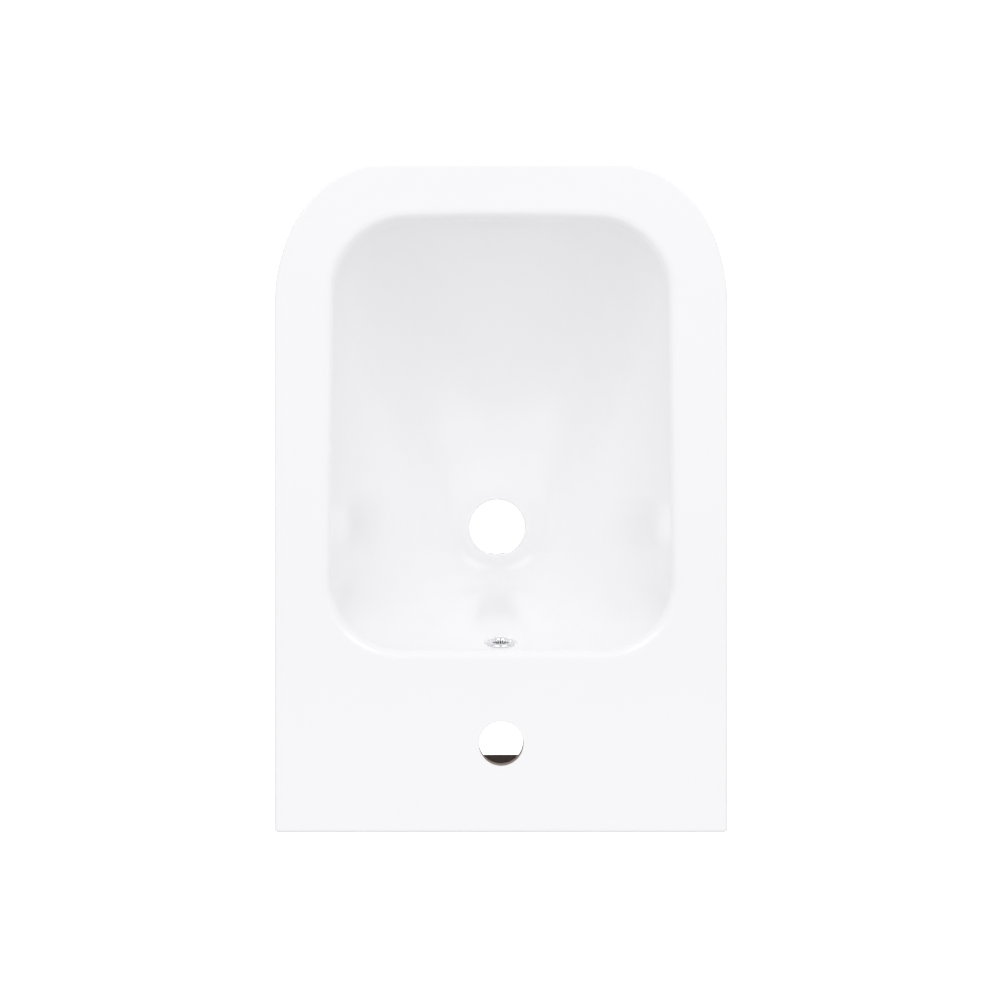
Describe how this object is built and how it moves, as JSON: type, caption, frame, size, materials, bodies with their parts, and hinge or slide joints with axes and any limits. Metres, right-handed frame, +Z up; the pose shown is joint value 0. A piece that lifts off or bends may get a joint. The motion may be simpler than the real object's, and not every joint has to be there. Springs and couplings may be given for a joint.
{
  "type": "wall-hung bidet",
  "caption": "Wall-hung bidet bowl with a soft square front, a rear tap deck, an overflow ring, an open underside and studs that fix it to a wall.",
  "frame": {"origin": "on the wall plane, midway between the axes of the two fixing studs", "axes": "+Y out of the back of the bidet into the wall, +Z up, +X to the right for someone facing the wall"},
  "size_m": [0.36, 0.55, 0.32],
  "materials": {
    "vitreous_china": "white gloss glaze",
    "chromed_ring": "polished",
    "white_plastic": "moulded",
    "grey_plastic": "moulded",
    "zinc_plated_steel": "bright zinc plating"
  },
  "bodies": {
    "root": {"ceramic_body": "vitreous_china", "overflow_ring": "chromed_ring", "overflow_clip": "white_plastic", "stud_left": "zinc_plated_steel", "stud_right": "zinc_plated_steel", "nut_left": "zinc_plated_steel", "nut_right": "zinc_plated_steel", "washer_left": "zinc_plated_steel", "washer_right": "zinc_plated_steel", "sleeve_left": "grey_plastic", "sleeve_right": "grey_plastic"}
  },
  "joints": []
}
